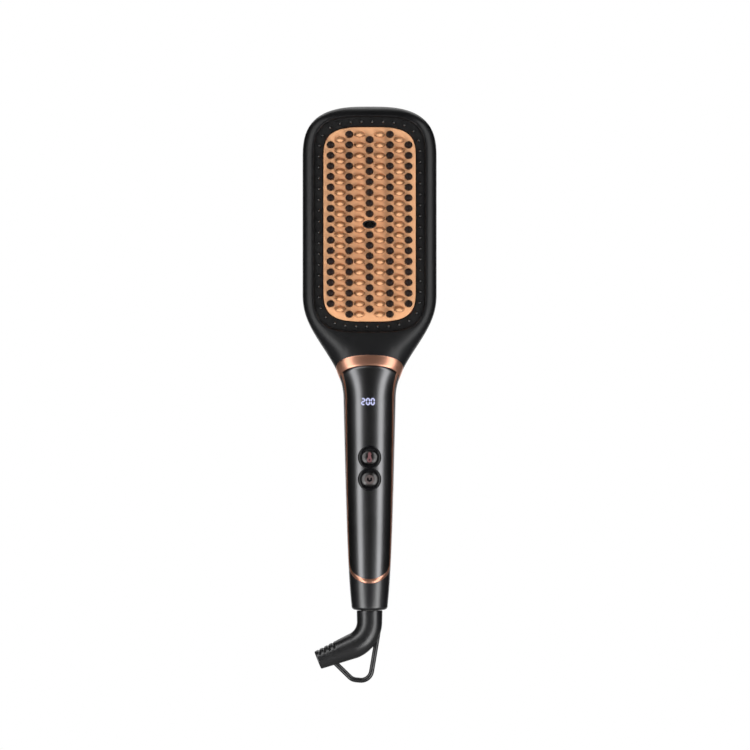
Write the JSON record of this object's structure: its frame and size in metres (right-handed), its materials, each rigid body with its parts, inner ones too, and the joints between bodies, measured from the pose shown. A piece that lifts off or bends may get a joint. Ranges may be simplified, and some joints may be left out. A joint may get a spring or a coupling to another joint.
{
  "type": "heated hair straightener brush",
  "caption": "Heated hair straightener brush: a paddle head with a copper-coloured toothed plate, bristles and guard pins, a button handle and a swivelling cord boot.",
  "frame": {"origin": "on the handle's axis in the middle of the grip, 67 mm above the tail face", "axes": "+Z along the handle towards the head, -Y the way the bristles point, +X to the right seen from the bristle side"},
  "size_m": [0.0764, 0.0368, 0.3273],
  "materials": {
    "shell_black": "satin, fine moulded grain",
    "handle_black": "satin lacquer",
    "panel_gunmetal": "satin lacquer",
    "rose_gold": "satin plated",
    "copper_coating": "satin copper-coloured coating",
    "bristle_black": "satin",
    "comb_black": "matte",
    "seal_rubber": "matte silicone",
    "boot_rubber": "satin",
    "heater_ceramic": "matte",
    "spring_steel": "brushed",
    "mica": "matte",
    "board_green": "satin solder mask",
    "part_black": "matte",
    "part_white": "matte",
    "capacitor_blue": "gloss sleeve",
    "screw_steel": "zinc plated",
    "contact_brass": "bright",
    "button_black": "satin",
    "bezel_black": "gloss",
    "display_smoke": "gloss",
    "lead_red": "matte",
    "lead_blue": "matte",
    "bead_glass": "clear"
  },
  "bodies": {
    "brush": {"head_front_shell": "shell_black", "head_rear_shell": "shell_black", "neck_collar": "rose_gold", "handle_rear_shell": "handle_black", "handle_front_panel": "panel_gunmetal", "handle_trim": "rose_gold", "button_bezel": "bezel_black", "heater_plate": "copper_coating", "guard_comb": "comb_black", "plate_gasket": "seal_rubber", "bristle_carrier": "bristle_black", "heater_left": "heater_ceramic", "heater_right": "heater_ceramic", "heater_clamp": "spring_steel", "insulation_sheet": "mica", "clamp_screws": "screw_steel", "thermistor": "bead_glass", "thermal_fuse": "part_white", "ion_nozzle": "part_black", "ion_needle": "spring_steel", "ion_module": "part_black", "main_board": "board_green", "board_screws": "screw_steel", "display_module": "display_smoke", "capacitor": "capacitor_blue", "power_triac": "part_black", "head_screws": "screw_steel", "handle_screws": "screw_steel", "power_switch": "part_black", "temperature_switch": "part_black", "tail_bush": "part_white", "contact_holder": "part_white", "contact_springs": "contact_brass", "heater_leads": "lead_red", "mains_leads": "lead_blue", "ion_lead": "lead_red"},
    "power_button": {"power_button_cap": "button_black", "power_switch_plunger": "part_white"},
    "temperature_button": {"temperature_button_cap": "button_black", "temperature_switch_plunger": "part_white"},
    "cord_swivel": {"cord_boot": "boot_rubber", "swivel_drum": "part_white", "slip_ring_outer": "contact_brass", "slip_ring_inner": "contact_brass"}
  },
  "joints": [
    {"name": "power_button_press", "type": "slide", "parent": "brush", "child": "power_button", "axis": [0, 1, 0], "range_m": [0, 0.0005], "stiffness_N_per_m": 600, "springref_m": -0.002},
    {"name": "temperature_button_press", "type": "slide", "parent": "brush", "child": "temperature_button", "axis": [0, 1, 0], "range_m": [0, 0.0005], "stiffness_N_per_m": 600, "springref_m": -0.002},
    {"name": "cord_boot_swivel", "type": "hinge", "parent": "brush", "child": "cord_swivel", "pos_m": [0, 0, -0.067], "axis": [0, 0, 1], "continuous": true}
  ]
}
